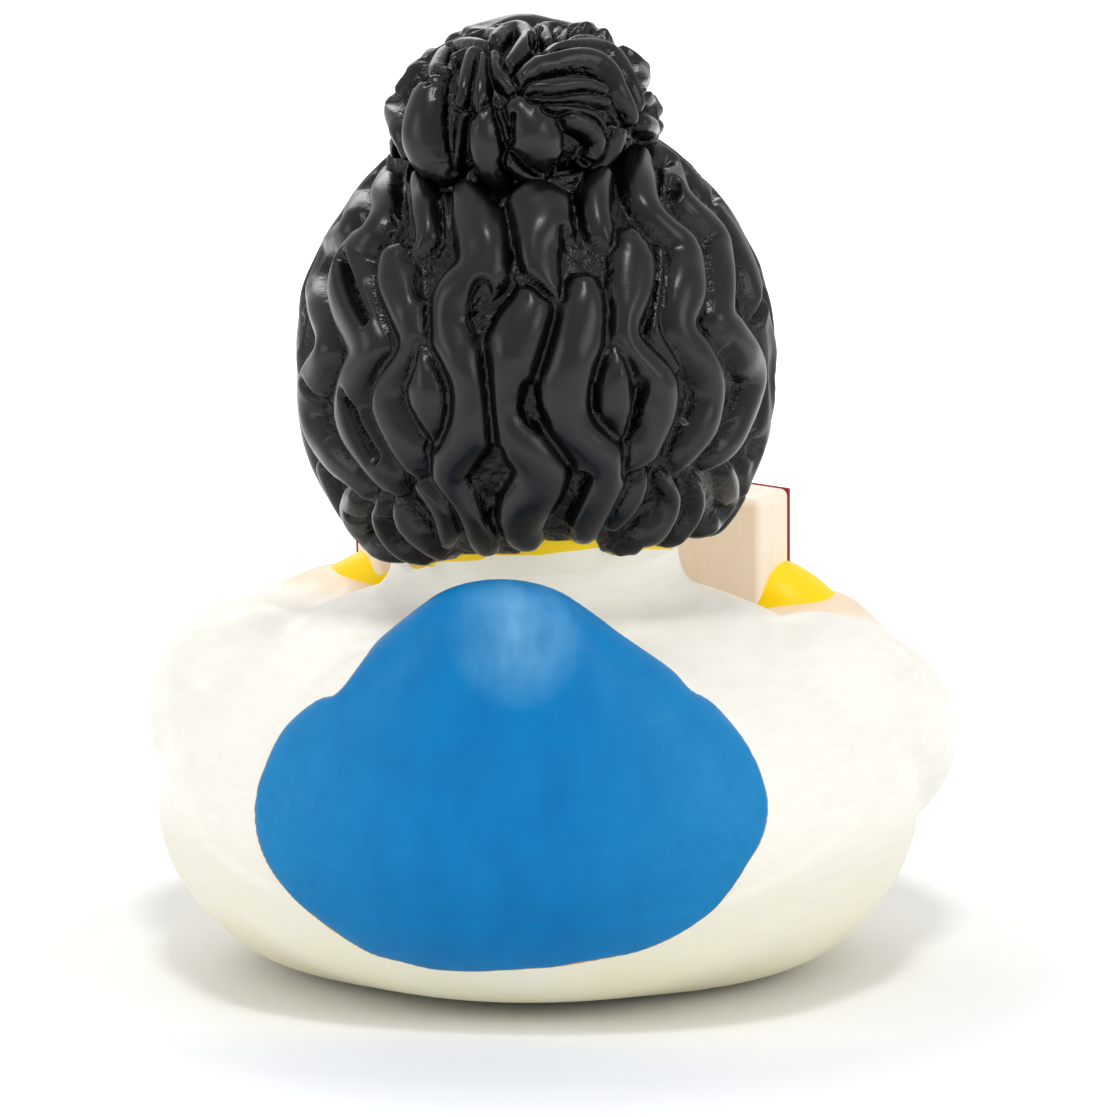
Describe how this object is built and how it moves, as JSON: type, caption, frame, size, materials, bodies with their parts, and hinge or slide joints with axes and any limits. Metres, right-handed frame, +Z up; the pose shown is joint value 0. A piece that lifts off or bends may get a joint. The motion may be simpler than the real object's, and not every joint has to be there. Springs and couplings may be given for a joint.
{
  "type": "bath duck figurine",
  "caption": "Hollow vinyl bath duck seen as a reader: wavy hair with a top bun, shirt, upturned tail and an open book held to its chest, on a flat base.",
  "frame": {"origin": "on the flat underside, on the middle plane of the duck, below the middle of its body", "axes": "+Z up from the flat underside, -Y the way the face and book point, +Y towards the tail, +X towards the duck's left arm"},
  "size_m": [0.0827, 0.0878, 0.0951],
  "materials": {
    "vinyl_painted": "one yellow vinyl moulding with satin hand paint: cream shirt, blue tail, black hair"
  },
  "bodies": {
    "root": {"duck": "vinyl_painted"}
  },
  "joints": []
}
